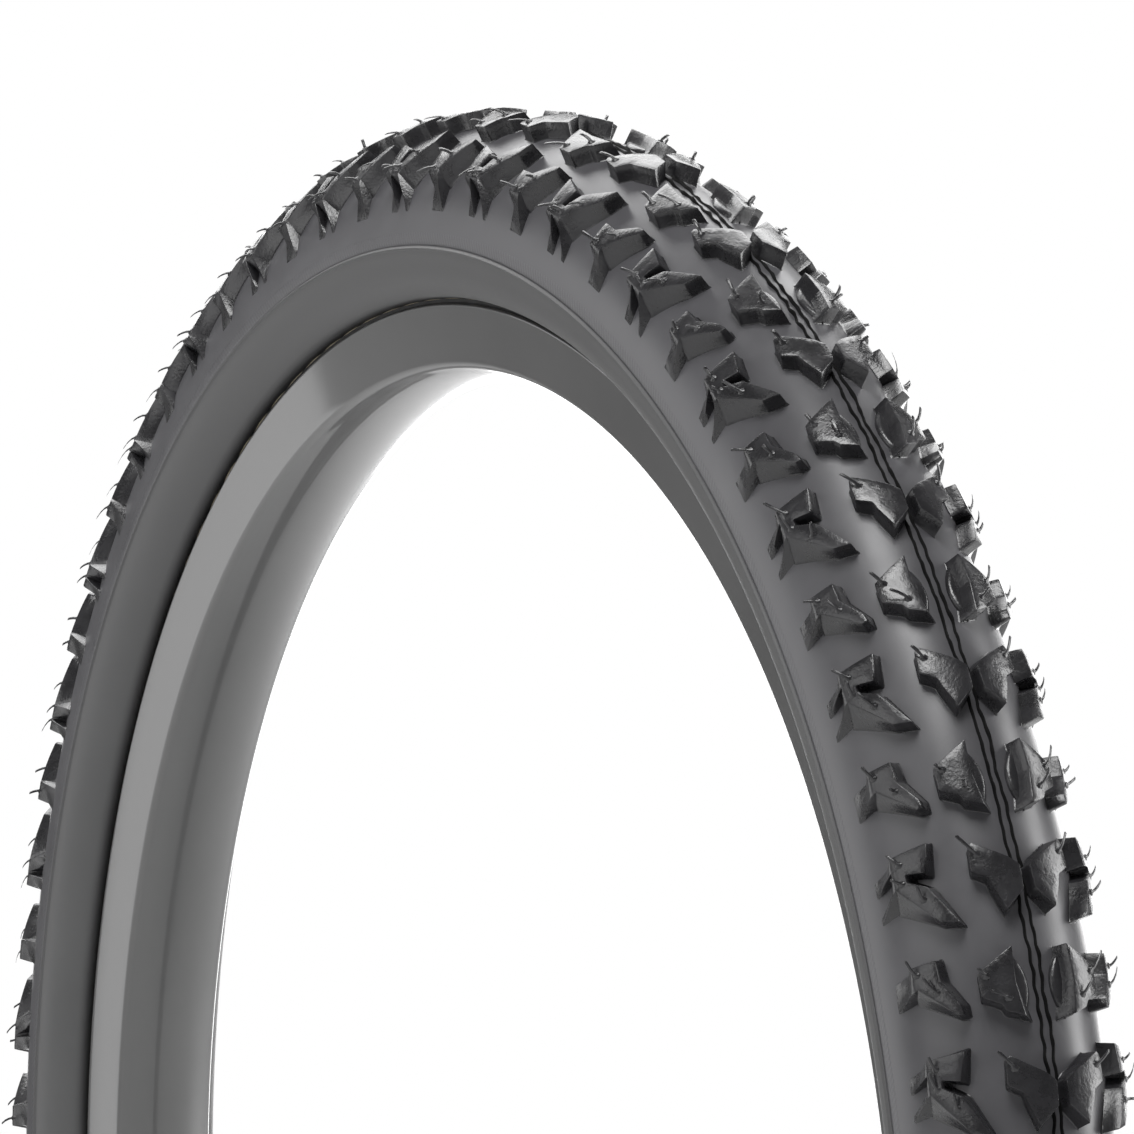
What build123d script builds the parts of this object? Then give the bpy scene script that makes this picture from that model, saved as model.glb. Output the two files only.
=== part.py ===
from build123d import *
import os
from math import atan2, cos, degrees, pi, sin

# Mountain-bike tyre, 26 x 2.35 (ETRTO 60-559), mounted on a plain rim. Millimetres.
# Origin at the wheel's centre, axle along +Y, valve at the bottom (-Z).
# Left is the -Y side. Angles round the wheel run from +X toward +Z.

# Driving sizes
bead_seat_radius = 279.5
section_half_width = 30.0
knob_height = 5.0
rim_inner_half_width = 17.3
rim_depth = 17.5
pitch_count = 37
pattern_angle = 16.43
stem_diameter = 7.7
stem_length = 44.0
cap_diameter = 10.5

# Thicknesses
crown_rubber = 2.4
belt_thickness = 1.0
ply_thickness = 0.8
side_rubber = 1.0
tube_wall = 0.9
flange_thickness = 1.7
tape_thickness = 0.6
bead_wire_radius = 1.3
wall_slope = 0.1

# Sizes that follow from them
wide = section_half_width / 30.0
crown_rise = 35.5 * wide
crown_arc = 24.0 * wide
widest_radius = bead_seat_radius + 21.8
crown_radius = widest_radius + crown_rise
outer_radius = crown_radius + knob_height
lip_radius = bead_seat_radius + 5.5
foot_radius = lip_radius + 0.5
foot_y = rim_inner_half_width + 0.2
well_radius = bead_seat_radius - 3.0
hub_side_radius = bead_seat_radius - rim_depth
shoulder_edge, ramp_middle, rib_foot = 31.0 * wide, 35.0 * wide, 40.8 * wide
tread_edge = 42.0 * wide
belt_edge = 27.0 * wide
pitch_angle = 360 / pitch_count
long = 2 * pi * outer_radius / pitch_count / 58.04


def two_arcs(crown, half_width, arc):
    """The section's upper half as a crown arc and a side arc that meet smoothly.

    The crown arc's centre is on the middle plane, and the side arc is level at the widest
    point, so its radius follows from the distance between the two centres.
    Returns the crown arc's centre radius, the side arc's radius and the meeting angle."""
    centre = crown - arc
    rise = centre - widest_radius
    side_arc = (rise ** 2 + half_width ** 2 - arc ** 2) / (2 * (half_width - arc))
    return centre, side_arc, atan2(side_arc - half_width, rise)


def section_point(w, h):
    """Radius and y of the point h above the base at arc length w, with its normal."""
    centre, side_arc, meet = two_arcs(crown_radius, section_half_width, crown_arc)
    angle = w / crown_arc
    if angle <= meet:
        r, y = centre + (crown_arc + h) * cos(angle), (crown_arc + h) * sin(angle)
    else:
        angle = meet + (w - meet * crown_arc) / side_arc
        r = widest_radius + (side_arc + h) * cos(angle)
        y = section_half_width - side_arc + (side_arc + h) * sin(angle)
    return r, y, cos(angle), sin(angle)


def tyre_point(w, s, h):
    """The 3D point at arc length w, distance s round the tread and height h."""
    r, y, _, _ = section_point(w, h)
    turn = s / outer_radius
    return Vector(r * cos(turn), y, r * sin(turn))


def ring(profile):
    return revolve(profile, Axis.Y, 360)


def both_sides(profile):
    return profile + mirror(profile, about=Plane.XZ)


def save(name, shape):
    export_step(shape, f"parts/{name}.step")
    print(name, len(shape.solids()))


def save_pair(name, shape):
    """The shape is built on the +Y side: right. Left is its mirror image."""
    save(f"{name}_right", shape)
    save(f"{name}_left", mirror(shape, about=Plane.XZ))


def section_curve(crown_inset, side_inset):
    """The section's upper arcs and the arc from the widest point down to the rim's lip."""
    crown, half_width = crown_radius - crown_inset, section_half_width - side_inset
    arc = crown_arc - max(crown_inset, side_inset)
    centre, side_arc, meet = two_arcs(crown, half_width, arc)
    meet = degrees(meet)
    top = CenterArc((centre, 0), arc, 0, meet)
    side = CenterArc((widest_radius, half_width - side_arc), side_arc, meet, 90 - meet)
    low_rise, low_run = widest_radius - foot_radius - side_inset, half_width - foot_y
    low_arc = (low_rise ** 2 + low_run ** 2) / (2 * low_run)
    low_turn = degrees(atan2(low_rise, low_arc - low_run))
    low = CenterArc((widest_radius, half_width - low_arc), low_arc, 90, low_turn)
    return top + side + low


def casing(crown_inset, side_inset):
    """Half of the tyre's section, inset by a layer depth at the crown and at the side."""
    close = Polyline(
        (foot_radius + side_inset, foot_y), (bead_seat_radius - 6, foot_y),
        (bead_seat_radius - 6, 0), (crown_radius - crown_inset, 0))
    return make_face(section_curve(crown_inset, side_inset) + close)


def crown_side(w):
    """Everything between the middle plane and the section's normal line at w."""
    outer, inner = section_point(w, 9), section_point(w, -9)
    far = crown_radius + 20
    return make_face(Polyline(
        (outer[0], outer[1]), (inner[0], inner[1]), (bead_seat_radius, 0),
        (far, 0), (far, outer[1] + 1), (outer[0], outer[1]), close=False))


# Layers of the section, from outside in (half sections, +Y side)
belt_inset = crown_rubber
ply_inset = crown_rubber + belt_thickness
whole = casing(0, 0)
under_belt = casing(ply_inset, side_rubber)
under_outer_ply = casing(ply_inset + ply_thickness, side_rubber + ply_thickness)
under_inner_ply = casing(ply_inset + 2 * ply_thickness, side_rubber + 2 * ply_thickness)
belt = (casing(belt_inset, side_rubber * 0.4) - under_belt) & crown_side(belt_edge)
rubber = whole - under_belt
tread_half = (rubber & crown_side(tread_edge)) - belt
side_half = rubber - crown_side(tread_edge)
ridge = make_face(Polyline(
    (widest_radius - 0.8, section_half_width - 0.15), (widest_radius, section_half_width + 0.5),
    (widest_radius + 0.8, section_half_width - 0.15), close=True))
side_half = side_half + (ridge - whole)

# Bead: wire, ply turned up round it, inner ply down to the toe, chafer round both
wire_r, wire_y = bead_seat_radius + 2.9, rim_inner_half_width - 2.9
ply_out = foot_radius + side_rubber
ply_mid = ply_out + ply_thickness
ply_in = ply_mid + ply_thickness
seat, wall = bead_seat_radius, rim_inner_half_width
toe = (seat + 0.5, wall - 7.9)
toe_foot = (seat, wall - 7.5)
knee = (seat + 7.8, wall - 3.4)
wire_disc = Pos(wire_r, wire_y) * Circle(bead_wire_radius)
wrap_disc = Pos(wire_r, wire_y) * Circle(bead_wire_radius + ply_thickness)
bead_shape = make_face(Polyline(
    (ply_in, foot_y), (foot_radius, foot_y), (foot_radius - 0.3, wall), (seat, wall),
    toe_foot, toe, knee, close=True))
outer_strip = make_face(Polyline(
    (ply_out, foot_y), (ply_mid, foot_y), (seat + 6.5, wall - 2.7), (seat + 4.7, wall - 4.0),
    (seat + 4.0, wall - 2.7), (seat + 5.8, wall - 1.7), close=True))
inner_strip = make_face(Polyline(
    (ply_mid, foot_y), (ply_in, foot_y), knee, toe,
    (toe[0] - 0.42, toe[1] + 0.68), (knee[0] - 0.42, knee[1] + 0.68), close=True))
outer_ply_half = (under_belt - under_outer_ply) + (outer_strip + wrap_disc - wire_disc)
inner_ply_half = (under_outer_ply - under_inner_ply) + (inner_strip - outer_strip - wrap_disc)
chafer_half = bead_shape - wrap_disc - outer_strip - inner_strip

# Tube: fills the space inside the inner ply, down to the tape
tape_top = well_radius + tape_thickness


def tube_face(depth):
    """Half section of the space the tube fills, inset by depth on every side."""
    inset = 2 * ply_thickness + depth
    close = Polyline(
        (ply_in + depth, foot_y), (knee[0] + 0.85 * depth, knee[1] - 0.55 * depth),
        (toe[0] + 0.6 * depth, toe[1] - 0.8 * depth), (tape_top + depth, wall - 10.1 - 0.4 * depth),
        (tape_top + depth, 0), (crown_radius - ply_inset - inset, 0))
    return make_face(section_curve(ply_inset + inset, side_rubber + inset) + close)


tube_half = tube_face(0) - tube_face(tube_wall)

# Rim: box section with flanges, bead seats, a centre well and a curved hub side
lip_y = rim_inner_half_width + flange_thickness
corner = (hub_side_radius + 4.0, 13.8)


def hub_curve(inner, half_width, drop):
    """Shallow arc across the hub side, from its edge to its lowest point at the middle."""
    bulge = (half_width ** 2 + drop ** 2) / (2 * drop)
    mid = half_width / 2
    sag = bulge - (bulge ** 2 - mid ** 2) ** 0.5
    return ThreePointArc((inner + drop, half_width), (inner + sag, mid), (inner, 0))


rim_edge = Polyline(
    (well_radius, 0), (well_radius, wall - 8.7), (seat, wall - 8.0), (seat, wall),
    (lip_radius - 0.7, wall))
lip_round = ThreePointArc(
    (lip_radius - 0.7, wall), (lip_radius, (wall + lip_y) / 2), (lip_radius - 0.7, lip_y))
band = Line((lip_radius - 0.7, lip_y), (hub_side_radius + 6.5, 15.9))
corner_round = ThreePointArc(
    (hub_side_radius + 6.5, 15.9), (hub_side_radius + 4.9, 15.2), corner)
hub_side = hub_curve(hub_side_radius, corner[1], 4.0)
rim_outline = make_face(
    rim_edge + lip_round + band + corner_round + hub_side
    + Line((hub_side_radius, 0), (well_radius, 0)))
hollow_floor, hollow_low = well_radius - 1.5, hub_side_radius + 1.6
hollow = make_face(
    Polyline((hollow_floor, 0), (hollow_floor, wall - 7.7), (seat - 1.5, wall - 6.7),
             (seat - 1.5, wall - 1.1), (hub_side_radius + 7.0, 14.4), (hollow_low + 3.8, 12.6))
    + hub_curve(hollow_low, 12.6, 3.8) + Line((hollow_low, 0), (hollow_floor, 0)))
rim_half = rim_outline - hollow
sleeve_outer = make_face(Polyline(
    (hollow_floor - 0.2, 0), (hollow_floor - 0.2, wall - 7.4), (seat - 1.7, wall - 6.4),
    (seat - 1.7, wall - 1.4), (hub_side_radius + 7.4, 14.1), (hollow_low + 4.0, 12.4),
    (hollow_low + 0.4, 0), close=True))
sleeve_inner = make_face(Polyline(
    (hollow_floor - 1.9, 0), (hollow_floor - 1.9, wall - 7.7), (seat - 3.2, wall - 5.8),
    (seat - 3.2, wall - 3.2), (hub_side_radius + 8.4, 12.6), (hollow_low + 5.3, 10.6),
    (hollow_low + 2.2, 0), close=True))
sleeve_half = sleeve_outer - sleeve_inner
tape_half = make_face(Polyline(
    (well_radius, 0), (well_radius, wall - 9.0), (tape_top, wall - 9.6), (tape_top, 0), close=True))

# Knob outlines on the tread, (distance from the middle, distance round) of their tops.
# The +Y side's outlines; a knob's place in the pattern is its phase, in pitches.
butterfly = [(10.9, 12.8), (6.8, 9.6), (3.3, 7.4), (1.5, 5.2), (1.5, -1.4),
             (6.0, -6.4), (8.2, -0.2), (8.8, 2.6), (12.2, 5.0), (11.8, 11.8)]
sail = [(6.7, 12.6), (15.2, 6.4), (15.0, 0.1), (10.8, -2.7), (10.0, -4.4),
        (6.1, -6.4), (7.2, 3.4)]
fork = [(31.2, 14.4), (21.0, 15.9), (22.6, 8.0), (27.3, 9.1), (27.3, 6.6),
        (22.8, 4.2), (16.8, -7.6), (21.4, -6.6), (31.2, 3.0)]
single = [(31.2, 12.4), (24.5, 12.6), (24.4, 6.5), (20.1, -0.7), (19.7, -3.3),
          (21.0, -3.5), (31.2, 3.4)]
fork_rib_low = [(29.5, 1.6), (29.5, 10.2), (40.9, 1.6), (40.9, -0.3)]
fork_rib_high = [(29.5, 11.2), (29.5, 14.0), (40.9, 12.0), (40.9, 8.0)]
single_rib = [(29.5, 3.6), (29.5, 12.0), (40.9, 10.0), (40.9, 2.4)]


def spread(points, gap):
    """The outline moved outward by gap along each edge's normal, corners mitred."""
    area = sum(a[0] * b[1] - b[0] * a[1] for a, b in zip(points, points[1:] + points[:1]))
    turn = 1 if area > 0 else -1
    moved = []
    for i, point in enumerate(points):
        before, after = points[i - 1], points[(i + 1) % len(points)]
        first = atan2(point[1] - before[1], point[0] - before[0]) - turn * pi / 2
        second = atan2(after[1] - point[1], after[0] - point[0]) - turn * pi / 2
        half = (second - first) / 2
        middle = first + half
        reach = gap / max(cos(half), 0.35) if cos(half) > 0 else gap / min(cos(half), -0.35)
        moved.append((point[0] + reach * cos(middle), point[1] + reach * sin(middle)))
    return moved


def block(points, slope=wall_slope, upright=None):
    """A block with slanting walls whose outline is the given one at knob-top height.

    It stands along the tyre's normal at the outline's middle, or at upright, a place
    across the tread. The outline is in the sizes of a 60 mm tyre with 37 pitches."""
    above, below = 0.4 * knob_height, 1.8 * knob_height
    outline = [(w * wide, s * long) for w, s in points]
    mid_w = sum(p[0] for p in outline) / len(outline)
    mid_s = sum(p[1] for p in outline) / len(outline)
    _, _, normal_r, normal_y = section_point(mid_w if upright is None else upright * wide, 0)
    turn = mid_s / outer_radius
    plane = Plane(
        origin=tyre_point(mid_w, mid_s, knob_height), x_dir=(-sin(turn), 0, cos(turn)),
        z_dir=(normal_r * cos(turn), normal_y, normal_r * sin(turn)))
    flat = [plane.to_local_coords(tyre_point(w, s, knob_height)) for w, s in outline]
    flat = [(p.X, p.Y) for p in flat]
    foot = [plane.from_local_coords((x, y, -below)) for x, y in spread(flat, slope * below)]
    top = [plane.from_local_coords((x, y, above)) for x, y in spread(flat, -slope * above)]
    outlines = [foot, top]
    outlines += [[foot[i - 1], foot[i], top[i], top[i - 1]] for i in range(len(flat))]
    return Solid(Shell([Face(Wire.make_polygon(points)) for points in outlines]))


def knob_space():
    """The band between the tyre's base surface and the knob tops, over one pitch."""
    edge = section_point(shoulder_edge, knob_height)
    middle = section_point(ramp_middle, 0.38 * knob_height)
    end = section_point(rib_foot, 0.0)
    centre, side_arc, meet = two_arcs(crown_radius, section_half_width, crown_arc)
    meet = degrees(meet)
    side_centre = (widest_radius, section_half_width - side_arc)
    edge_turn = degrees(atan2(edge[3], edge[2])) - meet
    end_turn = degrees(atan2(end[3], end[2])) - meet
    tops = CenterArc((centre, 0), crown_arc + knob_height, 0, meet)
    tops += CenterArc(side_centre, side_arc + knob_height, meet, edge_turn)
    ramp = ThreePointArc((edge[0], edge[1]), (middle[0], middle[1]), (end[0], end[1]))
    base = CenterArc((centre, 0), crown_arc, 0, meet)
    base += CenterArc(side_centre, side_arc, meet, end_turn)
    face = make_face(tops + ramp + base + Line((crown_radius, 0), (outer_radius, 0)))
    return Rot(Y=6) * revolve(face, Axis.Y, -12)


def around(shape, phase):
    """One copy on every pitch, turned by its phase in the pattern."""
    turns = [-(pattern_angle + (i + phase) * pitch_angle) for i in range(pitch_count)]
    return Compound(children=[Rot(Y=t) * shape for t in turns])


space = knob_space()
knobs = {
    "butterfly_knobs": (block(butterfly, slope=0.5 * wall_slope, upright=1.0), 0.0),
    "sail_knobs": (block(sail, slope=1.6 * wall_slope), 0.5),
    "forked_shoulder_knobs": (
        block(fork) + block(fork_rib_low) + block(fork_rib_high), 0.0),
    "single_shoulder_knobs": (block(single) + block(single_rib), 0.5),
}

# Mould seam: two fine ridges round the middle of the tread, between the butterfly halves
seam_half = make_face(Polyline(
    (crown_radius - 0.01, 0.2), (crown_radius + 0.55, 0.28), (crown_radius + 0.55, 0.42),
    (crown_radius - 0.01, 0.5), close=True)) - whole

os.makedirs("parts", exist_ok=True)
save("tread_cap", ring(both_sides(tread_half)))
save("mould_seam_ridges", ring(seam_half) + ring(mirror(seam_half, about=Plane.XZ)))
for name, (shape, phase) in knobs.items():
    save_pair(name, around(shape & space, phase))
save_pair("sidewall", ring(side_half))
save_pair("bead_wire", ring(wire_disc))
save_pair("chafer", ring(chafer_half))
save("outer_casing_ply", ring(both_sides(outer_ply_half)))
save("inner_casing_ply", ring(both_sides(inner_ply_half)))
save("breaker_belt", ring(both_sides(belt)))

# Valve, along the wheel's radius at the bottom
sleeve_diameter = stem_diameter + 0.3
core_diameter, guide_diameter, pin_diameter = 5.2, 1.3, 1.2
stem_tip = -(tape_top - stem_length)
stem_foot = -tape_top + 0.03
thread_foot = stem_tip - 13.0


def rod(diameter, low, high):
    """A round bar on the valve's axis between two heights."""
    return Pos(0, 0, low) * Cylinder(
        diameter / 2, high - low, align=(Align.CENTER, Align.CENTER, Align.MIN))


def tube_piece(outside, inside, low, high):
    return rod(outside, low, high) - rod(inside, low, high)


hole = rod(sleeve_diameter + 0.4, stem_foot - 2, stem_foot + 30)
patch_cut = rod(15.4, stem_foot - 2, -well_radius + 1)
save("rim", ring(both_sides(rim_half)) - hole)
sleeve_ring = Rot(Y=-84) * revolve(both_sides(sleeve_half), Axis.Y, -12)
save("rim_joint_sleeve", sleeve_ring)
save("rim_tape", ring(both_sides(tape_half)) - patch_cut)
save("inner_tube", ring(both_sides(tube_half)) - rod(3.4, stem_foot - 3, stem_foot + 3))
patch = (ring(both_sides(tape_half)) & rod(15.0, stem_foot - 2, -well_radius + 1))
save("valve_base_patch", patch - rod(sleeve_diameter, stem_foot - 2, stem_foot + 3))

core_top, core_low = stem_tip - 1.5, stem_tip - 19.0
shoulder = core_low + 4.0
seal_low, seal_high = core_low + 7.0, core_low + 9.0
stem = rod(stem_diameter - 1.1, stem_foot, stem_tip) + rod(stem_diameter, thread_foot, stem_tip)
stem = stem - rod(core_diameter, core_low - 3.5, stem_tip) - rod(3.4, stem_foot, core_low)
stem = chamfer(stem.edges().group_by(Axis.Z)[-1].sort_by(SortBy.RADIUS)[-1], 0.5)
save("valve_stem", stem)
save("valve_stem_sleeve", tube_piece(
    sleeve_diameter, stem_diameter - 1.1, stem_foot, thread_foot - 0.5))
core = rod(core_diameter, core_low, core_top) - rod(3.0, shoulder, core_top)
core = core - rod(guide_diameter, core_low, shoulder) - rod(3.0, core_low, shoulder - 2.0)
core = core - tube_piece(core_diameter + 1, core_diameter - 0.8, seal_low, seal_high)
save("valve_core_body", core)
save("valve_core_seal", tube_piece(core_diameter, core_diameter - 0.8, seal_low, seal_high))
collar_low = core_top - 3.5
pin_foot = core_low - 1.1
pin = rod(pin_diameter, pin_foot, stem_tip - 0.5) + rod(2.4, collar_low, collar_low + 0.8)
save("valve_core_pin", pin + rod(4.2, pin_foot - 0.8, pin_foot))
save("valve_core_washer", tube_piece(4.2, pin_diameter, pin_foot, core_low - 0.3))
spring_gap = 0.05
coil_wire, coil_radius = 0.34, 1.02
coil_low = shoulder + coil_wire / 2 + spring_gap
coil_high = collar_low - coil_wire / 2 - spring_gap
coil = Helix((coil_high - coil_low) / 6, coil_high - coil_low, coil_radius)
coil_start = Plane(origin=coil @ 0, z_dir=coil % 0)
save("valve_core_spring", Pos(0, 0, coil_low) * sweep(coil_start * Circle(coil_wire / 2), path=coil))

# Cap and its gasket
thread_clearance = 0.08
cap_mouth = thread_foot + 1.5
gasket_low = stem_tip + 0.3
gasket_high = gasket_low + 0.8
cap_top = gasket_high + 0.3 + 1.6
cap = rod(cap_diameter, cap_mouth, cap_top)
cap = chamfer(cap.edges().group_by(Axis.Z)[-1], 0.8)
cap = cap - rod(stem_diameter + 2 * thread_clearance, cap_mouth, gasket_high + 0.3)
for i in range(16):
    groove = Pos(cap_diameter / 2 + 0.25, 0, cap_mouth + 1.5) * Cylinder(
        0.6, 10.0, align=(Align.CENTER, Align.CENTER, Align.MIN))
    cap = cap - Rot(Z=i * 360 / 16) * groove
save("valve_cap", cap)
save("valve_cap_gasket", rod(6.8, gasket_low, gasket_high))
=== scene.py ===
import math

import bpy
import numpy as np
from mathutils import Matrix, Vector
from mathutils.geometry import delaunay_2d_cdt


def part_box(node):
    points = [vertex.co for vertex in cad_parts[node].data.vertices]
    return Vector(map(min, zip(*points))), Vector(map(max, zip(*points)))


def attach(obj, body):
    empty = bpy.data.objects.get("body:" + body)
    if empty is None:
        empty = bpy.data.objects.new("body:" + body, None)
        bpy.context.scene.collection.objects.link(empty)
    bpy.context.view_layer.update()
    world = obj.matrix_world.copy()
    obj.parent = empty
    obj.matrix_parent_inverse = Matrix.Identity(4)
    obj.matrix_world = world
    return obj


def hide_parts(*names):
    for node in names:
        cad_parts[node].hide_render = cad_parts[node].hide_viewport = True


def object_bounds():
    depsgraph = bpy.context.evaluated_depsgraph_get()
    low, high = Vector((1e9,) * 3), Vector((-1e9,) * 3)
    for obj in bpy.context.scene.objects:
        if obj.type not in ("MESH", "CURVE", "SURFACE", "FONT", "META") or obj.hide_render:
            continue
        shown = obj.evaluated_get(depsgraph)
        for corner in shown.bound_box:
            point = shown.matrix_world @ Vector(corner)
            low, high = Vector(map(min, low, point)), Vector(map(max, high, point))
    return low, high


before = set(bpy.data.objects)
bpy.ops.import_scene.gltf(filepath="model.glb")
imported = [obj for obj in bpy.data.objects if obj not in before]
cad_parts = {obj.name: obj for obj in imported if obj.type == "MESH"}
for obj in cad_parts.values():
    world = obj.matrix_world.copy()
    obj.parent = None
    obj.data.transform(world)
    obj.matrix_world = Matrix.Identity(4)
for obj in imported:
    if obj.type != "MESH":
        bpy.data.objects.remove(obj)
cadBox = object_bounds()
print("frame loaded")

mm = 0.001

# The tyre's own sizes, in mm and degrees. The crown's radius comes from the frame.
tyre = {
    "crownRadius": round(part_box("tread_cap")[1][0] / mm, 1),
    "widestRadius": 301.3,
    "halfWidth": 30.0,
    "crownArc": 24.0,
    "knobHeight": 5.0,
    "footRadius": 285.5,
    "footY": 17.5,
    "pitches": 37,
    "patternAngle": 16.43,
    "shoulder": 31.0,
    "ribFoot": 40.8,
}
outerRadius = tyre["crownRadius"] + tyre["knobHeight"]


def sectionPoint(w, h):
    # Arc length w from the crown and height h to radius and y, in mm. Three arcs in a row:
    # the crown arc on the middle plane, the side arc that is level at the widest point,
    # and the low arc down to the rim's lip. Each point is centre + (arc + h) * (cos, sin).
    crownArc, halfWidth, widest = tyre["crownArc"], tyre["halfWidth"], tyre["widestRadius"]
    centre = tyre["crownRadius"] - crownArc
    rise = centre - widest
    sideArc = (rise ** 2 + halfWidth ** 2 - crownArc ** 2) / (2 * (halfWidth - crownArc))
    meet = math.atan2(sideArc - halfWidth, rise)
    lowRise, lowRun = widest - tyre["footRadius"], halfWidth - tyre["footY"]
    lowArc = (lowRise ** 2 + lowRun ** 2) / (2 * lowRun)
    sideEnd = meet * crownArc + (math.pi / 2 - meet) * sideArc
    side, a = np.sign(w), np.abs(w)
    crownTurn = a / crownArc
    sideTurn = meet + (a - meet * crownArc) / sideArc
    lowTurn = math.pi / 2 + (a - sideEnd) / lowArc
    onCrown, onLow = crownTurn <= meet, a > sideEnd
    turn = np.where(onCrown, crownTurn, np.where(onLow, lowTurn, sideTurn))
    arc = np.where(onCrown, crownArc, np.where(onLow, lowArc, sideArc))
    baseR = np.where(onCrown, centre, widest)
    baseY = np.where(onCrown, 0.0, np.where(onLow, halfWidth - lowArc, halfWidth - sideArc))
    r = baseR + (arc + h) * np.cos(turn)
    y = baseY + (arc + h) * np.sin(turn)
    return r, np.where(side < 0, -y, y)


def onTyre(w, s, h):
    # (w, s, h) to metres: s is the distance round the tread at the knob tops.
    r, y = sectionPoint(w, h)
    turn = s / outerRadius
    return np.stack([r * np.cos(turn), y + 0 * turn, r * np.sin(turn)], -1) * mm


def bendBetween(start, pull, end, t):
    # A quadratic curve: (1 - t)^2 * start + 2 t (1 - t) * pull + t^2 * end.
    return (1 - t) ** 2 * start + 2 * t * (1 - t) * pull + t ** 2 * end


def buildMesh(name, points, quads, tris=None):
    # One smooth mesh from arrays of points, four-sided and three-sided faces.
    tris = np.zeros((0, 3), int) if tris is None else np.asarray(tris)
    mesh = bpy.data.meshes.new(name)
    mesh.vertices.add(len(points))
    mesh.vertices.foreach_set("co", np.asarray(points, np.float32).ravel())
    corners = np.concatenate([quads.ravel(), tris.ravel()])
    mesh.loops.add(len(corners))
    mesh.loops.foreach_set("vertex_index", corners.astype(np.int32))
    counts = np.concatenate([np.full(len(quads), 4), np.full(len(tris), 3)])
    mesh.polygons.add(len(counts))
    starts = np.concatenate([[0], np.cumsum(counts)[:-1]])
    mesh.polygons.foreach_set("loop_start", starts.astype(np.int32))
    mesh.polygons.foreach_set("use_smooth", np.full(len(counts), True))
    mesh.update(calc_edges=True)
    mesh.validate()
    return mesh


def addPiece(name, mesh, material, replaces=()):
    # Puts a mesh at the origin with its finish. It rides the wheel, and it may stand in for
    # nodes of the frame.
    piece = bpy.data.objects.new(name, mesh)
    bpy.context.scene.collection.objects.link(piece)
    mesh.materials.append(material)
    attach(piece, "wheel")
    if replaces:
        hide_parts(*replaces)


def gridQuads(rows, columns, closedRows=False, closedColumns=False):
    # Faces of a grid of points, row after row. A closed grid joins its last row or column
    # to its first.
    i = np.arange(rows if closedRows else rows - 1)[:, None]
    j = np.arange(columns if closedColumns else columns - 1)[None, :]
    a = i * columns + j
    b = i * columns + (j + 1) % columns
    c = (i + 1) % rows * columns + (j + 1) % columns
    d = (i + 1) % rows * columns + j
    return np.stack([a, b, c, d], -1).reshape(-1, 4)


def ringMesh(name, profileR, profileY, columns):
    # A closed profile (radius, y) in mm carried round the axle: (r cos t, y, r sin t).
    t = np.linspace(0, 2 * math.pi, columns, endpoint=False)[None, :]
    r, y = np.asarray(profileR)[:, None], np.asarray(profileY)[:, None]
    points = np.stack([r * np.cos(t), y + 0 * t, r * np.sin(t)], -1) * mm
    quads = gridQuads(len(profileR), columns, True, True)
    return buildMesh(name, points.reshape(-1, 3), quads)


# The camera: eye in metres, angles in degrees, lens and sensor in mm.
shot = {
    "eye": (2.42359, -1.12188, 0.01063),
    "yaw": 64.596,
    "pitch": -4.220,
    "roll": -3.588,
    "lens": 291.12,
    "sensor": 36.0,
}


def makeCamera():
    # The view direction from yaw and pitch, then right and up turned by roll.
    yaw, pitch, roll = (math.radians(shot[k]) for k in ("yaw", "pitch", "roll"))
    ahead = Vector((-math.sin(yaw) * math.cos(pitch), math.cos(yaw) * math.cos(pitch),
                    -math.sin(pitch)))
    right = ahead.cross(Vector((0, 0, 1))).normalized()
    up = right.cross(ahead)
    turned = math.cos(roll) * right + math.sin(roll) * up
    raised = math.cos(roll) * up - math.sin(roll) * right
    data = bpy.data.cameras.new("camera")
    data.lens, data.sensor_width = shot["lens"], shot["sensor"]
    data.clip_end = 50
    camera = bpy.data.objects.new("camera", data)
    place = Matrix((turned, raised, -ahead)).transposed().to_4x4()
    place.translation = Vector(shot["eye"])
    camera.matrix_world = place
    bpy.context.scene.collection.objects.link(camera)
    bpy.context.scene.camera = camera


studio = {
    "backdrop": (1.0, 1.0, 1.0),
    "skyStrength": 0.12,
    "lights": [
        # name, place, aim, width, height, watts
        ("overheadBack", (-1.5, 0.6, 2.3), (0, 0, 0.1), 3.0, 1.5, 70),
        ("backPanel", (-3.0, 2.0, 0.5), (0, 0, 0.1), 3.0, 2.2, 80),
        ("highFront", (1.5, -0.9, 2.9), (0, 0, 0.1), 1.5, 1.5, 85),
        ("leftBack", (-2.4, -2.4, 0.7), (0.1, 0, 0), 2.0, 2.2, 26),
        ("leftFill", (0.7, -3.4, 1.4), (0, 0, 0.1), 2.4, 2.0, 29),
        ("rightRim", (0.8, 2.9, 0.7), (0, 0, 0), 1.2, 2.4, 70),
    ],
    "floorSize": 12.0,
    "floorDrop": 0.0005,
    "floorTone": (0.7, 0.7, 0.7),
    "floorRoughness": 0.6,
}


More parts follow.
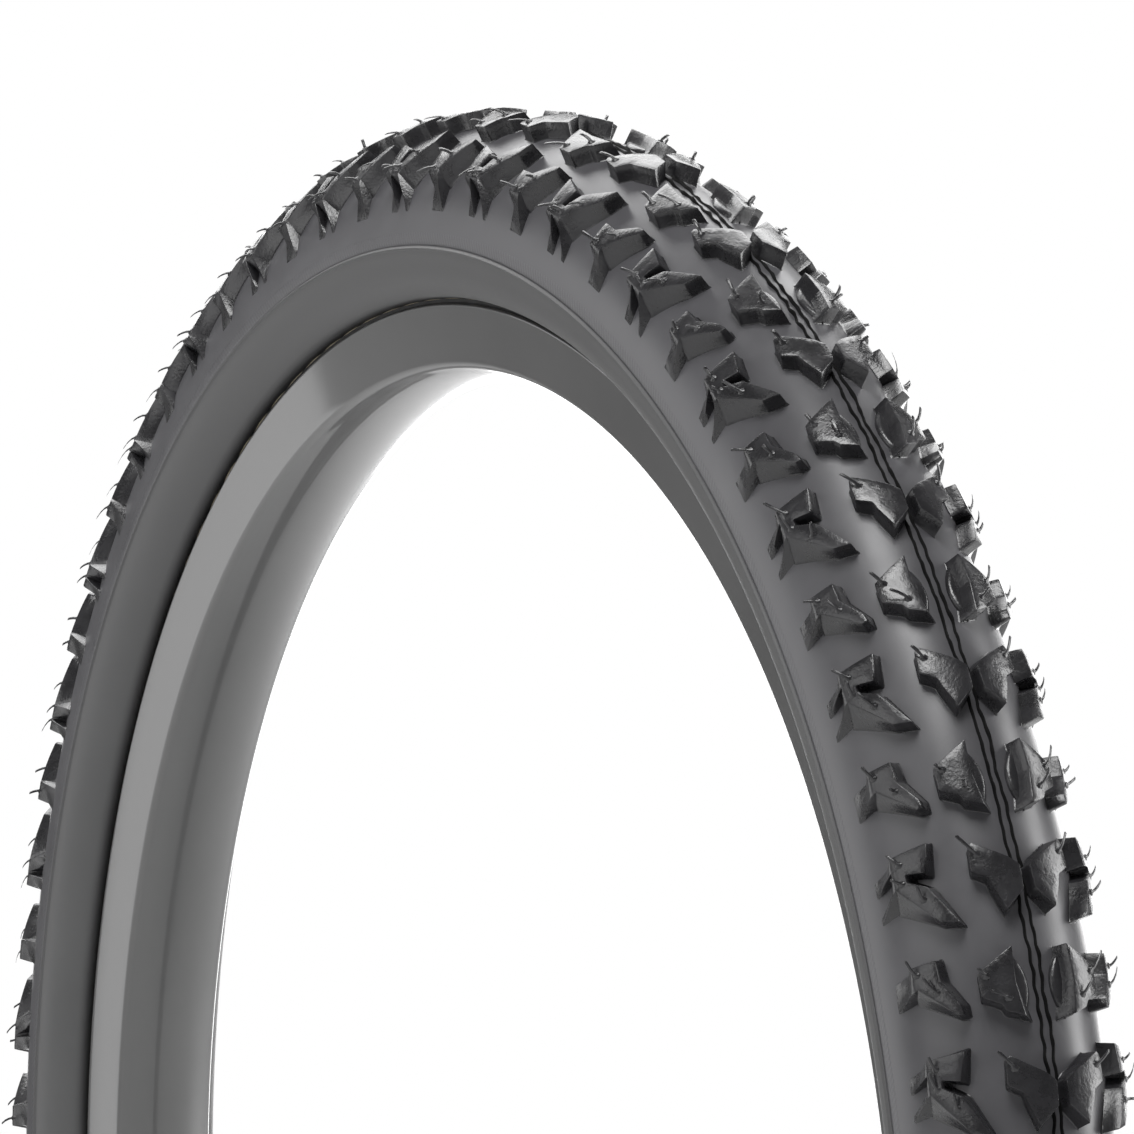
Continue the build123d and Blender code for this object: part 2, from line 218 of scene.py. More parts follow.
def makeStudio():
    # A white backdrop that only the camera sees, a faint sky, lamps aimed at the tyre and a
    # pale floor just under it.
    world = bpy.data.worlds.new("studio")
    bpy.context.scene.world = world
    world.use_nodes = True
    nodes, links = world.node_tree.nodes, world.node_tree.links
    sky = nodes["Background"]
    sky.inputs["Color"].default_value = (*studio["backdrop"], 1)
    sky.inputs["Strength"].default_value = studio["skyStrength"]
    seen = nodes.new("ShaderNodeBackground")
    seen.inputs["Color"].default_value = (*studio["backdrop"], 1)
    seen.inputs["Strength"].default_value = 1.0
    path = nodes.new("ShaderNodeLightPath")
    mix = nodes.new("ShaderNodeMixShader")
    links.new(path.outputs["Is Camera Ray"], mix.inputs["Fac"])
    links.new(sky.outputs[0], mix.inputs[1])
    links.new(seen.outputs[0], mix.inputs[2])
    links.new(mix.outputs[0], nodes["World Output"].inputs["Surface"])
    for name, place, aim, width, height, watts in studio["lights"]:
        data = bpy.data.lights.new(name, "AREA")
        data.shape, data.size, data.size_y, data.energy = "RECTANGLE", width, height, watts
        lamp = bpy.data.objects.new(name, data)
        lamp.location = place
        lamp.rotation_euler = (Vector(aim) - Vector(place)).to_track_quat("-Z", "Y").to_euler()
        bpy.context.scene.collection.objects.link(lamp)
    half = studio["floorSize"] / 2
    level = cadBox[0][2] - studio["floorDrop"]
    corners = [(-half, -half, level), (half, -half, level), (half, half, level), (-half, half, level)]
    mesh = bpy.data.meshes.new("floor")
    mesh.from_pydata(corners, [], [(0, 1, 2, 3)])
    floor = bpy.data.objects.new("floor", mesh)
    bpy.context.scene.collection.objects.link(floor)
    mesh.materials.append(plainMaterial("paleFloor", studio["floorTone"], studio["floorRoughness"]))
    bpy.context.scene.view_settings.view_transform = "Standard"


def plainMaterial(name, color, roughness):
    # One even colour and one roughness.
    material = bpy.data.materials.new(name)
    material.use_nodes = True
    shader = material.node_tree.nodes["Principled BSDF"]
    shader.inputs["Base Color"].default_value = (*color, 1)
    shader.inputs["Roughness"].default_value = roughness
    return material


def texturedMaterial(name, dark, light, roughness, patch=60.0, grain=2500.0, bump=0.15,
                     depth=0.0001, metallic=0.0, specular=0.5, coat=0.0, coatRoughness=0.1,
                     stretch=(1, 1, 1)):
    # Two tones mixed by soft patches, roughness that varies with them and a fine grain bump.
    material = bpy.data.materials.new(name)
    material.use_nodes = True
    nodes, links = material.node_tree.nodes, material.node_tree.links
    shader = nodes["Principled BSDF"]
    shader.inputs["Metallic"].default_value = metallic
    shader.inputs["Specular IOR Level"].default_value = specular
    shader.inputs["Coat Weight"].default_value = coat
    shader.inputs["Coat Roughness"].default_value = coatRoughness
    where = nodes.new("ShaderNodeTexCoord")
    scale = nodes.new("ShaderNodeMapping")
    scale.inputs["Scale"].default_value = stretch
    links.new(where.outputs["Object"], scale.inputs["Vector"])
    patches = nodes.new("ShaderNodeTexNoise")
    patches.inputs["Scale"].default_value = patch
    patches.inputs["Detail"].default_value = 6
    patches.inputs["Roughness"].default_value = 0.62
    links.new(scale.outputs["Vector"], patches.inputs["Vector"])
    tones = nodes.new("ShaderNodeValToRGB")
    tones.color_ramp.elements[0].position, tones.color_ramp.elements[1].position = 0.34, 0.68
    tones.color_ramp.elements[0].color = (*dark, 1)
    tones.color_ramp.elements[1].color = (*light, 1)
    links.new(patches.outputs["Fac"], tones.inputs["Fac"])
    links.new(tones.outputs["Color"], shader.inputs["Base Color"])
    gloss = nodes.new("ShaderNodeMapRange")
    gloss.inputs["From Min"].default_value, gloss.inputs["From Max"].default_value = 0.3, 0.7
    gloss.inputs["To Min"].default_value = roughness[0]
    gloss.inputs["To Max"].default_value = roughness[1]
    links.new(patches.outputs["Fac"], gloss.inputs["Value"])
    links.new(gloss.outputs["Result"], shader.inputs["Roughness"])
    fine = nodes.new("ShaderNodeTexNoise")
    fine.inputs["Scale"].default_value = grain
    fine.inputs["Detail"].default_value = 3
    links.new(scale.outputs["Vector"], fine.inputs["Vector"])
    relief = nodes.new("ShaderNodeBump")
    relief.inputs["Strength"].default_value = bump
    relief.inputs["Distance"].default_value = depth
    links.new(fine.outputs["Fac"], relief.inputs["Height"])
    links.new(relief.outputs["Normal"], shader.inputs["Normal"])
    return material


makeCamera()
makeStudio()
print("camera and studio ready")

finishes = {
    "knobRubber": texturedMaterial("knobRubber", (0.013, 0.0127, 0.014), (0.024, 0.0235, 0.026),
                                   (0.20, 0.36), patch=110, grain=1100, bump=0.35, depth=0.0003,
                                   specular=0.6),
    # near-black seam finish: painted shade, much darker than the other rubber, for the shadowed sides
    # of the seam's fins
    "flashPaintedShade": texturedMaterial("flashPaintedShade", (0.003, 0.003, 0.003), (0.005, 0.005, 0.005),
                                    (0.6, 0.8), patch=200, grain=1500, specular=0.1),
    "floorRubber": texturedMaterial("floorRubber", (0.070, 0.069, 0.074), (0.084, 0.083, 0.089),
                                    (0.32, 0.42), patch=45, grain=1800, bump=0.12),
    "sideRubber": texturedMaterial("sideRubber", (0.078, 0.078, 0.079), (0.090, 0.090, 0.091),
                                   (0.50, 0.60), patch=30, grain=2600, bump=0.15),
    "beadRubber": texturedMaterial("beadRubber", (0.012, 0.012, 0.012), (0.02, 0.02, 0.02),
                                   (0.6, 0.8), patch=200, grain=3000),
    "rimBlack": texturedMaterial("rimBlack", (0.085, 0.085, 0.085), (0.10, 0.10, 0.10),
                                 (0.34, 0.40), patch=14, grain=900, bump=0.0, metallic=0.25,
                                 coat=0.8, coatRoughness=0.06),
    "bareAluminium": texturedMaterial("bareAluminium", (0.55, 0.55, 0.56), (0.72, 0.72, 0.73),
                                      (0.25, 0.45), metallic=1.0, stretch=(1, 20, 1)),
    "cord": texturedMaterial("cord", (0.30, 0.25, 0.18), (0.55, 0.48, 0.36), (0.7, 0.9),
                             patch=700, grain=2600, bump=0.6, stretch=(1, 3, 1)),
    "beadWire": texturedMaterial("beadWire", (0.32, 0.28, 0.22), (0.55, 0.5, 0.42),
                                 (0.3, 0.5), metallic=1.0, patch=400),
    "tapeCloth": texturedMaterial("tapeCloth", (0.6, 0.57, 0.5), (0.76, 0.73, 0.66),
                                  (0.8, 0.95), patch=900, grain=2400, bump=0.5),
    "tubeRubber": texturedMaterial("tubeRubber", (0.014, 0.014, 0.015), (0.03, 0.03, 0.031),
                                   (0.5, 0.7), patch=80, grain=2200),
    "brass": texturedMaterial("brass", (0.55, 0.38, 0.14), (0.78, 0.58, 0.27), (0.22, 0.4),
                              metallic=1.0, patch=300, grain=3000, bump=0.05),
    "sealRed": texturedMaterial("sealRed", (0.45, 0.03, 0.02), (0.6, 0.06, 0.04), (0.35, 0.5),
                                patch=800),
    "springSteel": texturedMaterial("springSteel", (0.42, 0.42, 0.43), (0.62, 0.62, 0.63),
                                    (0.2, 0.35), metallic=1.0, patch=900),
    "capPlastic": texturedMaterial("capPlastic", (0.015, 0.015, 0.016), (0.026, 0.026, 0.027),
                                   (0.38, 0.55), patch=300, grain=3500),
}

# Outlines of the knob tops on the right half, (distance from the middle, distance round),
# in mm. Each knob type says its place in the pattern (phase, in pitches), where its vent
# hairs stand, and either its outline at the floor (foot) or how far its walls lean (slope)
# and how much further its front leans (front).
knobs = {
    "butterflyKnobs": {
        "node": "butterfly_knobs", "phase": 0.0, "slope": 0.07, "front": 0.08,
        "outline": [(10.9, 12.8), (6.8, 9.8), (3.3, 7.4), (1.2, 5.2), (1.4, -1.4),
                    (6.0, -6.4), (8.2, -0.2), (8.8, 2.6), (12.2, 5.0), (11.8, 11.8)],
        "hairs": [(10.2, 9.2)],
    },
    "sailKnobs": {
        "node": "sail_knobs", "phase": 0.5,
        "outline": [(6.7, 12.6), (15.2, 6.4), (15.0, 0.1), (10.8, -2.7), (10.0, -4.4),
                    (6.1, -6.4), (7.2, 3.4)],
        "foot": [(6.2, 13.0), (15.7, 6.7), (15.7, -0.6), (11.0, -3.3), (10.1, -5.2),
                 (3.6, -7.3), (6.0, 3.2)],
        "hairs": [(13.3, 5.4), (9.2, -1.2)],
    },
    "forkedShoulderKnobs": {
        "node": "forked_shoulder_knobs", "phase": 0.0,
        "outline": [(30.8, 15.2), (20.9, 15.9), (22.8, 8.0), (27.5, 9.2), (27.5, 7.0),
                    (22.9, 4.0), (16.7, -7.8), (21.3, -6.5), (31.2, 6.4)],
        "foot": [(32.2, 15.6), (20.7, 17.0), (22.1, 7.4), (27.0, 8.9), (27.0, 7.5),
                 (22.3, 4.3), (16.1, -8.4), (21.7, -7.1), (34.0, 0.4)],
        "hairs": [(28.6, 12.4), (28.8, 6.9), (24.4, 0.8)],
        "fins": [((15.2, 11.5), (12.4, 7.9), (11.0, 7.2)), ((11.3, 6.4), (1.8, -0.2), (1.3, -0.6))],
    },
    "singleShoulderKnobs": {
        "node": "single_shoulder_knobs", "phase": 0.5,
        "outline": [(31.4, 12.4), (24.5, 12.6), (24.4, 6.5), (20.1, -0.7), (19.6, -3.4),
                    (21.0, -3.5), (30.7, 6.8)],
        "foot": [(32.6, 13.0), (24.2, 13.6), (23.4, 7.0), (19.1, -0.6), (19.0, -4.0),
                 (21.3, -4.0), (33.4, 3.0)],
        "hairs": [(29.6, 10.0), (25.2, 3.8)],
        "fins": [((12.3, 6.0), (10.8, 2.5), (4.2, 2.0))],
    },
}
knobShape = {
    "cornerCut": 0.35,      # how much of each corner is rounded, mm
    "pointGap": 1.7,        # distance between points along the outline
    "edgeRound": 0.22,      # radius of the top edge
    "fillet": 0.45,         # radius where the wall meets the floor
    "topGap": 1.9,          # distance between points on the top
    "dish": 0.10,           # how far the top sinks inside its edge
    "sink": 0.3,            # how far the foot goes under the floor
    "sharpAngle": 32.0,     # edges sharper than this stay crisp, degrees
}


def roundOutline(outline, foot):
    # Corners become quadratic curves between two points cornerCut away from the corner,
    # then long edges get points every pointGap. The foot's loop has matching points.
    corners, low = np.array(outline, float), np.array(foot, float)
    ahead = np.roll(corners, -1, 0)
    if np.sum(corners[:, 0] * ahead[:, 1] - ahead[:, 0] * corners[:, 1]) < 0:
        corners, low = corners[::-1], low[::-1]
    lengthBefore = np.linalg.norm(np.roll(corners, 1, 0) - corners, axis=1, keepdims=True)
    lengthAfter = np.linalg.norm(np.roll(corners, -1, 0) - corners, axis=1, keepdims=True)
    cutBefore = np.minimum(knobShape["cornerCut"] / lengthBefore, 0.3)[:, None]
    cutAfter = np.minimum(knobShape["cornerCut"] / lengthAfter, 0.3)[:, None]
    t = np.array([0.0, 0.5, 1.0])[None, :, None]
    loops = []
    for p in (corners, low):
        start = p[:, None] + (np.roll(p, 1, 0) - p)[:, None] * cutBefore
        end = p[:, None] + (np.roll(p, -1, 0) - p)[:, None] * cutAfter
        loops.append(bendBetween(start, p[:, None], end, t).reshape(-1, 2))
    span = np.linalg.norm(np.roll(loops[0], -1, 0) - loops[0], axis=1)
    pieces = np.maximum(1, np.ceil(span / knobShape["pointGap"]).astype(int))
    index = np.repeat(np.arange(len(span)), pieces)
    step = np.arange(len(index)) - np.repeat(np.cumsum(pieces) - pieces, pieces)
    part = (step / pieces[index])[:, None]
    return [p[index] * (1 - part) + np.roll(p, -1, 0)[index] * part for p in loops]


def outwardNormals(loop):
    # The mean of the two edge normals at each point, lengthened at corners up to 1.3.
    edge = np.roll(loop, -1, 0) - loop
    edge /= np.linalg.norm(edge, axis=1, keepdims=True)
    normal = np.stack([edge[:, 1], -edge[:, 0]], 1)
    both = normal + np.roll(normal, 1, 0)
    size = np.linalg.norm(both, axis=1, keepdims=True)
    return both / np.maximum(size, 1e-6) * np.minimum(1.3, 2 / np.maximum(size, 1e-6))


def rampHeight(w):
    # Full knob height up to the tread's shoulder, then a hollow ramp down to nothing.
    t = np.clip((np.abs(w) - tyre["shoulder"]) / (tyre["ribFoot"] - tyre["shoulder"]), 0, 1)
    return tyre["knobHeight"] * (1 - t) ** 1.35


def leaningFoot(knob):
    # The outline moved out by the walls' slope, and further where a wall faces the front.
    corners = np.array(knob["outline"], float)
    ahead = np.roll(corners, -1, 0)
    turned = np.sum(corners[:, 0] * ahead[:, 1] - ahead[:, 0] * corners[:, 1]) < 0
    normal = outwardNormals(corners) * (-1 if turned else 1)
    lean = knob["slope"] * normal
    lean[:, 1] -= knob["front"] * np.maximum(0, -normal[:, 1])
    return corners + lean * tyre["knobHeight"]


def knobPoints(knob):
    # Rings of points from under the floor up the wall and over the rounded top edge, then a
    # triangulated top. Returns (w, s, h) points, quads and triangles.
    low = knob["foot"] if "foot" in knob else leaningFoot(knob)
    loop, foot = roundOutline(knob["outline"], low)
    normal = outwardNormals(loop)
    top = rampHeight(loop[:, 0])
    lean = (foot - loop) / tyre["knobHeight"]
    fillet, edge = knobShape["fillet"], knobShape["edgeRound"]
    rows = [  # (extra outward, height)
        (fillet, 0 * top - knobShape["sink"]),
        (fillet * 0.62, 0 * top + 0.04),
        (fillet * 0.22, 0 * top + fillet * 0.35),
        (0.0, 0 * top + fillet),
        (0.0, top * 0.55),
        (0.0, top - edge),
        (-edge * 0.3, top - edge * 0.3),
        (-edge, top),
    ]
    rings = []
    for outward, height in rows:
        flat = loop + normal * outward + lean * (top - height)[:, None]
        rings.append(np.column_stack([flat, height]))
    count = len(loop)
    quads = gridQuads(len(rings), count, False, True)
    # points inside the top, on a staggered grid
    inner = rings[-1][:, :2]
    low, high = inner.min(0), inner.max(0)
    gap = knobShape["topGap"]
    gridW, gridS = np.meshgrid(np.arange(low[0], high[0], gap), np.arange(low[1], high[1], gap))
    grid = np.column_stack([(gridW + 0.5 * gap * (np.arange(gridW.shape[0]) % 2)[:, None]).ravel(),
                            gridS.ravel()])
    a, b = inner, np.roll(inner, -1, 0)
    ab = b - a
    along = np.clip(((grid[:, None] - a) * ab).sum(-1) / (ab ** 2).sum(-1), 0, 1)
    away = np.linalg.norm(grid[:, None] - (a + along[..., None] * ab), axis=-1).min(1)
    rayHits = ((a[:, 1] > grid[:, None, 1]) != (b[:, 1] > grid[:, None, 1])) & (
        grid[:, None, 0] < a[:, 0] + (grid[:, None, 1] - a[:, 1]) / (ab[:, 1] + 1e-12) * ab[:, 0])
    inside = (rayHits.sum(1) % 2 == 1) & (away > 0.55 * gap)
    flat = [Vector(p) for p in np.vstack([inner, grid[inside]]).tolist()]
    edges = [(i, (i + 1) % count) for i in range(count)]
    made = delaunay_2d_cdt(flat, edges, [list(range(count))], 1, 1e-5)
    # points of the ring keep their places there, and every other point is a new one
    home = np.array([ids[0] if ids and ids[0] < count else -1 for ids in made[3]])
    isNew = home < 0
    first = (len(rings) - 1) * count
    place = np.where(isNew, len(rings) * count + np.cumsum(isNew) - 1, first + home)
    tops = place[np.array([f for f in made[2] if len(f) == 3])]
    filling = np.array([tuple(p) for p in made[0]])[isNew]
    along = np.clip(((filling[:, None] - a) * ab).sum(-1) / (ab ** 2).sum(-1), 0, 1)
    away = np.linalg.norm(filling[:, None] - (a + along[..., None] * ab), axis=-1).min(1)
    dish = knobShape["dish"] * (1 - np.exp(-away / 1.5))
    fillingPoints = np.column_stack([filling, rampHeight(filling[:, 0]) - dish])
    points = np.vstack(rings + [fillingPoints])
    return points, quads, tops


finShape = {
    "start": 29.8,          # where a fin starts, just inside the knob's outer edge, mm
    "swell": 0.35,          # how far it stands above the ramp halfway along
    "fall": 0.62,           # how much lower its rear is than its front, as a share
    "fallFrom": 31.2,       # where the rear begins to fall
    "fallLength": 3.0,      # how far it takes to fall
    "sink": 0.15,           # how far its edges go under the floor
    "rows": 15,
}


def finPoints(top, foot, base):
    # A flank fin, from its start to a point on the sidewall. Its rear and front edges bend
    # from their places at the top to those at the foot, s = top + (foot - top) *
    # (1 - (1 - t)^1.25). Height is rampHeight at the front edge and falls to the rear. The
    # front wall comes down on the line between the two base places.
    t = np.linspace(0, 1, finShape["rows"])[:, None]
    w = finShape["start"] + (tyre["ribFoot"] - finShape["start"]) * t
    under = -finShape["sink"]
    bend = 1 - (1 - t) ** 1.25
    rear = top[0] + (foot[0] - top[0]) * bend
    front = top[1] + (foot[1] - top[1]) * bend
    wall = np.minimum(front - 0.1, base[0] + (base[1] - base[0]) * t)
    high = rampHeight(w) + finShape["swell"] * np.sin(math.pi * t) - 0.04
    fallen = np.clip((w - finShape["fallFrom"]) / finShape["fallLength"], 0, 1)
    low = high * (1 - finShape["fall"] * fallen)
    s = np.concatenate([rear + 0.5, rear + 0.1, rear - 0.15, 0.6 * rear + 0.4 * front,
                        0.25 * rear + 0.75 * front, front + 0.12, front, wall], 1)
    h = np.concatenate([0 * t + under, low - 0.2, low, 0.65 * low + 0.35 * high,
                        0.2 * low + 0.8 * high, high, high - 0.15, 0 * t + under], 1)
    h = np.where(t > 0.97, under, h)
    points = np.stack([w + 0 * s, s, h], -1).reshape(-1, 3)
    return points, gridQuads(len(t), s.shape[1])


ledgeShape = {
    "rear": 12.2,           # distance round of its rear tip, mm
    "length": 19.0,         # from tip to tip
    "wall": 7.4,            # distance from the middle of the edge along the sail's wall
    "drift": 0.8,           # how far that edge moves in towards the front tip
    "width": 4.0,           # how far the outer edge bulges
    "across": (0.0, 0.45, 0.72, 0.86, 0.95, 1.0),
    "height": (1.5, 1.45, 1.3, 0.95, 0.4, -0.2),
    "rows": 14,
}


def ledgePoints():
    # A low crescent beside the sail: across from the sail's wall to an outer edge that bulges
    # as sin(pi t)^0.75, along s; height falls from 1.5 mm with a rounded shoulder.
    t = np.linspace(0, 1, ledgeShape["rows"])[:, None]
    s = ledgeShape["rear"] - ledgeShape["length"] * t
    bulge = np.sin(math.pi * t) ** 0.75
    inner = ledgeShape["wall"] - ledgeShape["drift"] * t
    across = np.array(ledgeShape["across"])[None, :]
    height = np.array(ledgeShape["height"])[None, :]
    w = inner - ledgeShape["width"] * bulge * across
    h = height * np.minimum(1, 0.25 + 1.4 * bulge)
    h = np.where(across == 1.0, height[0, -1], h)
    points = np.stack([w, s + 0 * w, h], -1).reshape(-1, 3)
    return points, gridQuads(len(t), across.shape[1])


def joinParts(parts):
    # Several (points, quads, triangles) as one.
    points, quads, tris, count = [], [], [], 0
    for p, q, t in parts:
        points.append(p)
        quads.append(q + count)
        if t is not None:
            tris.append(t + count)
        count += len(p)
    return np.vstack(points), np.vstack(quads), np.vstack(tris)


def copiesRound(points, quads, tris, phase, side):
    # The same shape on every pitch: s grows by one pitch length each time. On the left side
    # w changes sign and the faces turn round.
    pitch = 2 * math.pi * outerRadius / tyre["pitches"]
    start = math.radians(tyre["patternAngle"]) * outerRadius + phase * pitch
    shift = start + pitch * np.arange(tyre["pitches"])[:, None]
    w = np.broadcast_to(points[:, 0] * side, (tyre["pitches"], len(points)))
    s = points[:, 1] + shift
    h = np.broadcast_to(points[:, 2], w.shape)
    placed = onTyre(w.ravel(), s.ravel(), h.ravel())
    offset = (np.arange(tyre["pitches"]) * len(points))[:, None, None]
    allQuads = (quads[None] + offset).reshape(-1, 4)
    allTris = (tris[None] + offset).reshape(-1, 3)
    if side > 0:
        allQuads, allTris = allQuads[:, ::-1], allTris[:, ::-1]
    return placed, allQuads, allTris


def makeKnobs():
    # Each knob type is worked out once, with its fins or its crescent, then copied round the
    # tyre on both sides.
    for name, knob in knobs.items():
        parts = [knobPoints(knob)]
        parts += [(*finPoints(*fin), None) for fin in knob.get("fins", [])]
        if name == "sailKnobs":
            parts.append((*ledgePoints(), None))
        points, quads, tris = joinParts(parts)
        for side, word in ((1, "right"), (-1, "left")):
            placed, q, t = copiesRound(points, quads, tris, knob["phase"], side)
            mesh = buildMesh(name + word.title(), placed, q, t)
            mesh.set_sharp_from_angle(angle=math.radians(knobShape["sharpAngle"]))
            addPiece(name + word.title(), mesh, finishes["knobRubber"],
                     [f"{knob['node']}_{word}"])
        print(name, len(points), "points each")


hairShape = {"radius": 0.43, "collar": 1.1, "sides": 6, "length": (3.4, 5.4), "sink": 0.15,
             "seed": 7}


def makeHairs():
    # Each hair is a tube round a bent line. It rises by length * t * (0.72 - 0.3 * lean * t)
    # and bends away by length * (lean * t^1.5 + curl * t^2.5). Its radius goes from the
    # collar's down to the hair's.
    rng = np.random.default_rng(hairShape["seed"])
    pitch = 2 * math.pi * outerRadius / tyre["pitches"]
    roots = [(w, s + knob["phase"] * pitch) for knob in knobs.values() for w, s in knob["hairs"]]
    roots = np.array(roots)
    start = math.radians(tyre["patternAngle"]) * outerRadius
    s = (roots[:, 1][None] + start + pitch * np.arange(tyre["pitches"])[:, None]).ravel()
    w = np.tile(roots[:, 0], tyre["pitches"])
    t = np.array([0.0, 0.02, 0.10, 0.16, 0.4, 0.7, 0.97, 1.0])
    size = np.array([1.0, 1.0, 0.75, 0.0, 0.0, -0.05, -0.15, -0.9])
    radius = hairShape["radius"] + (hairShape["collar"] - hairShape["radius"]) * np.maximum(size, 0)
    radius = radius * np.where(size < -0.5, 0.25, 1)
    turn = np.linspace(0, 2 * math.pi, hairShape["sides"], endpoint=False)
    count = len(w)
    for side, word in ((1, "Right"), (-1, "Left")):
        length = rng.uniform(*hairShape["length"], count)[:, None, None]
        leanS = rng.normal(0.62, 0.26, count)[:, None, None]
        leanW = rng.normal(0.30, 0.26, count)[:, None, None]
        curl = rng.normal(0.10, 0.18, count)[:, None, None]
        along = t[None, :, None]
        rise = length * along * (0.72 - 0.30 * np.abs(leanS) * along)
        centreS = length * (leanS * along ** 1.5 + curl * along ** 2.5)
        centreW = length * (leanW * along ** 1.5)
        ringW = radius[None, :, None] * np.cos(turn)[None, None, :]
        ringS = radius[None, :, None] * np.sin(turn)[None, None, :]
        allW = (w[:, None, None] + centreW + ringW) * side
        allS = s[:, None, None] + centreS + ringS
        allH = tyre["knobHeight"] - hairShape["sink"] + rise + 0 * ringW
        points = onTyre(allW.ravel(), allS.ravel(), allH.ravel())
        quads = gridQuads(len(t), len(turn), False, True)
        offset = (np.arange(count) * len(t) * len(turn))[:, None, None]
        quads = (quads[None] + offset).reshape(-1, 4)
        if side < 0:
            quads = quads[:, ::-1]
        mesh = buildMesh("ventHairs" + word, points, quads)
        addPiece("ventHairs" + word, mesh, finishes["knobRubber"])
    print("vent hairs", 2 * count)


# The rubber between and beside the knobs, as arc lengths from the crown and thicknesses in mm.
casing = {
    "treadEdge": 50.6,      # where the tread's rubber ends
    "crownRubber": 2.4,     # thickness at the crown
    "sideRubber": 1.0,      # thickness of the sidewalls
    "ringAt": 51.3,         # the raised ring at the widest part
    "ringHeight": 0.75,
    "ringSpread": 0.36,     # half width of the ring
    "ringEnd": 52.4,        # the finely divided stretch ends here
    "lowStart": 53.0,       # and the coarser one goes from here
    "lowEnd": 73.4,
    "step": 0.15,           # how far the sidewall stands out below the ring
    "lipGap": 1.2,          # how far above the rim's lip it stops
    "columns": 740,
}


def makeTreadFloor():
    # The outer surface from shoulder to shoulder, closed by an inner surface under it.
    w = np.linspace(-casing["treadEdge"], casing["treadEdge"], 109)
    outerR, outerY = sectionPoint(w, 0 * w)
    depth = casing["sideRubber"] + (casing["crownRubber"] - casing["sideRubber"]) * np.cos(
        w / casing["treadEdge"] * math.pi / 2)
    innerR, innerY = sectionPoint(w[::-3], -depth[::-3])
    mesh = ringMesh("treadFloor", np.concatenate([outerR, innerR]),
                    np.concatenate([outerY, innerY]), casing["columns"])
    addPiece("treadFloor", mesh, finishes["floorRubber"], ["tread_cap"])


def makeSidewalls():
    # From the tread's edge to the rim's lip, with the raised ring at the widest part. The
    # ring's height is ringHeight * exp(-(distance / ringSpread)^2).
    w = np.concatenate([np.linspace(casing["treadEdge"], casing["ringEnd"], 14),
                        np.linspace(casing["lowStart"], casing["lowEnd"], 24)])
    fromRing = w - casing["ringAt"]
    bump = casing["ringHeight"] * np.exp(-(fromRing / casing["ringSpread"]) ** 2)
    bump = bump + casing["step"] * (w > casing["ringAt"])
    r, y = sectionPoint(w, bump)
    keep = r > tyre["footRadius"] + casing["lipGap"]
    innerR, innerY = sectionPoint(w[::-4], 0 * w[::-4] - casing["sideRubber"])
    for side, word in ((1, "right"), (-1, "left")):
        mesh = ringMesh("sidewall" + word.title(), np.concatenate([r[keep], innerR]),
                        side * np.concatenate([y[keep], innerY]), casing["columns"])
        if side < 0:
            mesh.flip_normals()
        addPiece("sidewall" + word.title(), mesh, finishes["sideRubber"],
                 [f"sidewall_{word}"])


hatch = {"from": 46.4, "to": 50.4, "ribs": 1150, "height": 0.16, "slant": 3.2, "sink": 0.03,
         "edgeSink": 0.05, "rows": 9}


def makeHatchBands():
    # Fine slanting ribs pressed into a narrow band: h = height * |sin| of a phase that runs
    # with s and w, fading out at the band's edges.
    columns, rows = hatch["ribs"] * 4, hatch["rows"]
    t = np.linspace(0, 1, rows)[:, None]
    w = hatch["from"] + (hatch["to"] - hatch["from"]) * t
    s = np.linspace(0, 2 * math.pi * outerRadius, columns, endpoint=False)[None, :]
    pitch = 2 * math.pi * outerRadius / hatch["ribs"]
    wave = 0.5 + 0.5 * np.cos(2 * math.pi * (s + hatch["slant"] * t) / pitch)
    fade = np.minimum(1, 6 * t * (1 - t))
    h = -hatch["sink"] + hatch["height"] * wave * fade - hatch["edgeSink"] * (fade <= 0)
    for side, word in ((1, "Right"), (-1, "Left")):
        points = onTyre((side * w + 0 * s).ravel(), (s + 0 * w).ravel(), h.ravel())
        quads = gridQuads(rows, columns, False, True)
        if side > 0:
            quads = quads[:, ::-1]
        mesh = buildMesh("hatchBand" + word, points, quads)
        addPiece("hatchBand" + word, mesh, finishes["floorRubber"])


seam = {"gap": 1.2, "width": 0.34, "height": 0.9, "columns": 2400, "seed": 3}


def makeSeam():
    # Two thin ragged fins of flash beside the middle line. Their height and line wander by
    # sums of a few waves with whole counts round the wheel. Their near-black finish is
    # painted shade, standing for the shadowed sides of the fins.
    rng = np.random.default_rng(seam["seed"])
    s = np.linspace(0, 2 * math.pi * outerRadius, seam["columns"], endpoint=False)[None, :]
    across = np.array([-1.6, -0.8, -0.35, 0.35, 0.8, 1.6])[:, None]
    shape = np.array([-0.05, 0.12, 1.0, 1.0, 0.12, -0.05])[:, None]
    meshes = []
    for side in (1, -1):
        counts = rng.integers(40, 420, 9)
        shifts = rng.uniform(0, 2 * math.pi, 9)
        waves = np.sin(counts[:, None] * s / outerRadius + shifts[:, None])
        wander = 0.13 * waves[:4].sum(0)[None, :]
        tall = seam["height"] * np.clip(0.75 + 0.16 * waves[4:].sum(0), 0.25, 1.3)[None, :]
        w = side * seam["gap"] + wander + seam["width"] * across
        h = tall * shape
        meshes.append((onTyre(w.ravel(), (s + 0 * w).ravel(), h.ravel()),
                       gridQuads(len(across), seam["columns"], False, True)[:, ::-1]))
    points = np.vstack([m[0] for m in meshes])
    quads = np.vstack([meshes[0][1], meshes[1][1] + len(meshes[0][0])])
    addPiece("mouldSeam", buildMesh("mouldSeam", points, quads), finishes["flashPaintedShade"],
             ["mould_seam_ridges"])


